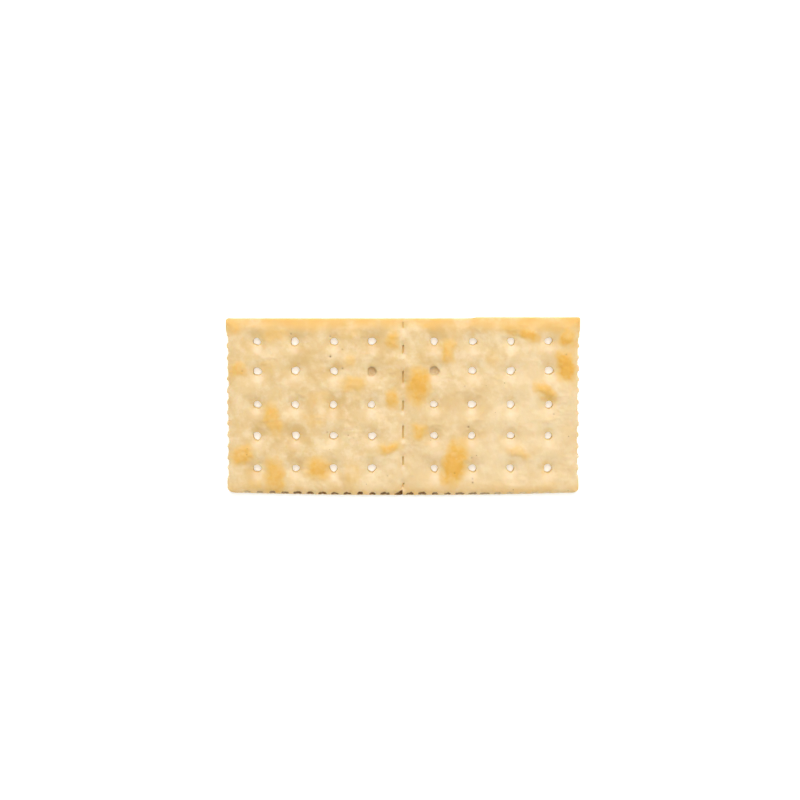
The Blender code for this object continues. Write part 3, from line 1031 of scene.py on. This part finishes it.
# The colour of the specks and the pinholes, and of the painted shade in the pits
SPECK = linear(120, 72, 34)

# The least size of a speck as a share of its radius, and how far out it stays plain before it fades
SMALLEST_SPECK = 0.35
SPECK_CORE = 0.55


def set_inputs(node, settings):
    """Sets plain values on a node's inputs, by name."""
    for name, value in settings.items():
        node.inputs[name].default_value = value


def new_material(name):
    """A new material, and its shader."""
    material = bpy.data.materials.new(name)
    material.use_nodes = True
    return material, material.node_tree.nodes["Principled BSDF"]


class Nodes:
    """Short ways to add nodes to a material's tree. Lengths and places are in millimetres."""

    def __init__(self, tree):
        self.tree = tree
        place = self.add("ShaderNodeTexCoord").outputs["Object"]
        scaled = self.add("ShaderNodeVectorMath", operation="SCALE")
        self.join(scaled.inputs[0], place)
        scaled.inputs["Scale"].default_value = 1 / MM
        self.place = scaled.outputs[0]

    def add(self, kind, **settings):
        node = self.tree.nodes.new(kind)
        for name, value in settings.items():
            setattr(node, name, value)
        return node

    def join(self, socket, value):
        """Links a value to a socket, or sets it where it is a plain number or colour."""
        if isinstance(value, bpy.types.NodeSocket):
            self.tree.links.new(value, socket)
        else:
            socket.default_value = value

    def math(self, operation, first, second):
        node = self.add("ShaderNodeMath", operation=operation)
        self.join(node.inputs[0], first)
        self.join(node.inputs[1], second)
        return node.outputs[0]

    def plus(self, first, second):
        return self.math("ADD", first, second)

    def times(self, first, second):
        return self.math("MULTIPLY", first, second)

    def span(self, value, low, high, to_low=0.0, to_high=1.0):
        """to_low where a value is at low, to_high where it is at high, and eased in between."""
        node = self.add("ShaderNodeMapRange", interpolation_type="SMOOTHSTEP")
        set_inputs(node, {"From Min": low, "From Max": high, "To Min": to_low, "To Max": to_high})
        self.join(node.inputs["Value"], value)
        return node.outputs["Result"]

    def noise(self, size, detail=3.0, rough=0.55):
        """Noise from 0 to 1, with features about size wide."""
        node = self.add("ShaderNodeTexNoise")
        self.join(node.inputs["Vector"], self.place)
        set_inputs(node, {"Scale": 1 / size, "Detail": detail, "Roughness": rough})
        return node.outputs["Fac"]

    def drift(self, per_millimetre):
        """A value that grows steadily across the cracker, by the given amount along each axis."""
        node = self.add("ShaderNodeVectorMath", operation="DOT_PRODUCT")
        self.join(node.inputs[0], self.place)
        node.inputs[1].default_value = per_millimetre
        return node.outputs["Value"]

    def mark(self, name):
        return self.add("ShaderNodeAttribute", attribute_name=name).outputs["Fac"]

    def mix(self, share, first, second):
        """The first colour, with the given share of the second."""
        node = self.add("ShaderNodeMix", data_type="RGBA")
        colours = [socket for socket in node.inputs if socket.type == "RGBA"]
        self.join(node.inputs["Factor"], share)
        self.join(colours[0], first)
        self.join(colours[1], second)
        return [socket for socket in node.outputs if socket.type == "RGBA"][0]

    def paint(self, colour, layers):
        """A colour with layers upon it, each given by its share and its own colour."""
        for share, above in layers:
            colour = self.mix(share, colour, above)
        return colour

    def specks(self, gap, radius, share):
        """Round specks, 1 at the middle of each, on a random share of cells that lie about gap apart."""
        node = self.add("ShaderNodeTexVoronoi", voronoi_dimensions="2D")
        self.join(node.inputs["Vector"], self.place)
        node.inputs["Scale"].default_value = 1 / gap
        chance = self.add("ShaderNodeSeparateColor")
        self.join(chance.inputs[0], node.outputs["Color"])
        chosen = self.math("LESS_THAN", chance.outputs[0], share)
        size = self.plus(self.times(chance.outputs[1], radius / gap), SMALLEST_SPECK * radius / gap)
        near = self.math("DIVIDE", node.outputs["Distance"], size)
        return self.times(chosen, self.span(near, 1.0, SPECK_CORE))


def skin_layers(make, toast):
    """The skin upon the cream of the dough: pale and sandy patches, paler towards +X -Y and sandier the
    other way, toast and painted shade above the holes, gold that is partly painted shade on the torn edge,
    painted highlights and the brown underside.
    """
    # Paler towards +X and -Y, and sandier the other way
    drift_to_pale = make.drift((0.012, -0.016, 0))
    golden = make.span(make.noise(6.0), 0.3, 0.62, to_low=0.3)
    browned = make.span(make.noise(5.0, detail=5.0, rough=0.62), 0.36, 0.66, to_low=0.1, to_high=0.8)
    return [
        (make.span(make.noise(3.2, detail=4.0, rough=0.6), 0.38, 0.66), PALE),
        (make.span(make.noise(7.0, detail=4.0), 0.44, 0.68, to_high=0.8), SAND),
        (make.span(drift_to_pale, -0.1, 0.45, to_high=0.45), PALE),
        (make.span(drift_to_pale, -0.2, -0.9, to_high=0.2), SAND),
        # The toast mark also carries the painted shade above the docking holes
        (make.span(toast, 0.0, 0.85, to_high=0.9), TOAST),
        (make.span(toast, 0.6, 1.1, to_high=0.75), DEEP_TOAST),
        (make.times(make.mark("gold"), golden), GOLD),
        # Painted highlights below the slits and the docking holes
        (make.times(make.mark("pale"), 0.5), PAINTED_HIGHLIGHT),
        (make.times(make.mark("under"), browned), UNDER_BROWN),
    ]


def wall_layers(make):
    """Crumb on the torn edges, deeper dough in the holes, brown with painted shade in the bites and the chip,
    and a painted contact shadow at the foot of the long edge.
    """
    crumb = make.mix(make.span(make.noise(0.5, detail=2.0), 0.35, 0.7), CRUMB, SAND)
    inside = make.mark("inside")
    browned_and_shaded = make.times(make.mark("notched"), make.span(make.noise(0.9), 0.2, 0.7, to_low=0.6))
    return [
        (make.mark("torn"), crumb),
        (make.span(inside, 0.05, 0.3), INNER),
        (make.span(inside, 0.3, 0.9), DEEP_INNER),
        (make.span(browned_and_shaded, 0.05, 0.9), NOTCH_BROWN_AND_SHADE_COLOUR),
    ]


def dough_material():
    material, shader = new_material("baked_dough")
    make = Nodes(material.node_tree)
    grain = make.noise(0.8, rough=0.6)
    mottle = make.math("SUBTRACT", make.plus(make.noise(2.4, detail=2.0), make.times(grain, 0.4)), 0.7)
    toast = make.times(make.mark("toast"), make.plus(mottle, 1.0))
    specks = make.specks(gap=2.6, radius=0.16, share=0.03)
    # Dark specks, the pinholes, and the painted shade in the pits
    pinholes = [(make.times(specks, 0.5), SPECK), (make.times(make.mark("pinhole"), 0.8), SPECK)]
    colour = make.paint(CREAM, skin_layers(make, toast) + wall_layers(make) + pinholes)
    make.join(shader.inputs["Base Color"], colour)

    toasted_sheen = make.span(toast, 0.2, 0.9, to_low=0.56, to_high=0.48)
    make.join(shader.inputs["Roughness"], make.math("MAXIMUM", toasted_sheen, make.mark("notched")))
    set_inputs(shader, {"Specular IOR Level": 0.2, "Subsurface Weight": 0.8})
    set_inputs(shader, {"Subsurface Radius": (1.0, 0.68, 0.38), "Subsurface Scale": 0.8 * MM})

    pores = make.times(make.noise(0.22, detail=2.0), 0.35)
    bump = make.add("ShaderNodeBump")
    set_inputs(bump, {"Strength": 0.5, "Distance": 0.09 * MM})
    make.join(bump.inputs["Height"], make.plus(make.plus(grain, pores), make.times(specks, -1.5)))
    make.join(shader.inputs["Normal"], bump.outputs["Normal"])
    return material


# ---- Floor, light and camera


# How far the floor reaches each way in metres, and its colour and glow, which match the photo's background
FLOOR_REACH = 3
FLOOR_COLOUR = (0.93, 0.93, 0.93, 1)
FLOOR_GLOW = (0.93, 1, 1, 1)
FLOOR_GLOW_STRENGTH = 0.36

# The light from all round, and each lamp: where it stands and its side, in metres, and its power in watts
SKY_STRENGTH = 0.44
LAMPS = {
    "key": ((0.06, 0.68, 0.81), 0.8, 8.5),
    "fill": ((0, 0.1, 1.0), 0.6, 2.7),
}

# The photo: its side and the cracker's middle in it, in pixels, and how many of them show a metre
PHOTO_SIZE = 800
PHOTO_MIDDLE = (403.0, 407.5)
PHOTO_SCALE = 3.535 / MM

# The camera: its distance in metres, how far it leans from straight above in degrees, and its sensor in mm
CAMERA_DISTANCE = 0.75
CAMERA_LEAN = 6.0
SENSOR_WIDTH = 36.0


def add_floor():
    mesh = bpy.data.meshes.new("floor")
    far = FLOOR_REACH
    mesh.from_pydata([(-far, -far, 0), (far, -far, 0), (far, far, 0), (-far, far, 0)], [], [(0, 1, 2, 3)])
    material, shader = new_material("pale_floor")
    set_inputs(shader, {"Base Color": FLOOR_COLOUR, "Roughness": 0.9, "Specular IOR Level": 0.1})
    set_inputs(shader, {"Emission Color": FLOOR_GLOW, "Emission Strength": FLOOR_GLOW_STRENGTH})
    mesh.materials.append(material)
    floor = new_object("floor", mesh)


def add_lamp(name, place, side, power):
    """A square lamp that points at the cracker."""
    light = bpy.data.lights.new(name, "AREA")
    light.shape = "SQUARE"
    light.size = side
    light.energy = power
    lamp = new_object(name, light)
    lamp.location = place
    lamp.rotation_euler = (-Vector(place)).to_track_quat("-Z", "Y").to_euler()


def add_lights():
    world = bpy.data.worlds.new("studio")
    world.use_nodes = True
    set_inputs(world.node_tree.nodes["Background"], {"Color": (1, 1, 1, 1), "Strength": SKY_STRENGTH})
    bpy.context.scene.world = world
    for name, (place, side, power) in LAMPS.items():
        add_lamp(name, place, side, power)
    bpy.context.scene.view_settings.view_transform = "Standard"


def add_camera():
    """A camera almost straight above the docked face, leaning a little towards the smooth edge."""
    data = bpy.data.cameras.new("camera")
    data.sensor_width = SENSOR_WIDTH
    seen_width = PHOTO_SIZE / PHOTO_SCALE
    data.lens = SENSOR_WIDTH * CAMERA_DISTANCE / seen_width
    lean = math.radians(CAMERA_LEAN)
    shift_x = (PHOTO_SIZE / 2 - PHOTO_MIDDLE[0]) / PHOTO_SCALE
    shift_y = (PHOTO_MIDDLE[1] - PHOTO_SIZE / 2) / PHOTO_SCALE
    across = Vector((shift_x, shift_y * math.cos(lean), -shift_y * math.sin(lean)))
    aim = Vector((0, 0, PINNED_TOP * MM)) + across
    camera = new_object("camera", data)
    camera.location = aim + CAMERA_DISTANCE * Vector((0, math.sin(lean), math.cos(lean)))
    camera.rotation_euler = (-lean, 0, 0)
    bpy.context.scene.camera = camera


def main():
    cracker = cracker_object(dough_material())
    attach(cracker, "root")
    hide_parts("cracker")
    add_floor()
    add_lights()
    add_camera()
    bpy.context.view_layer.update()


main()
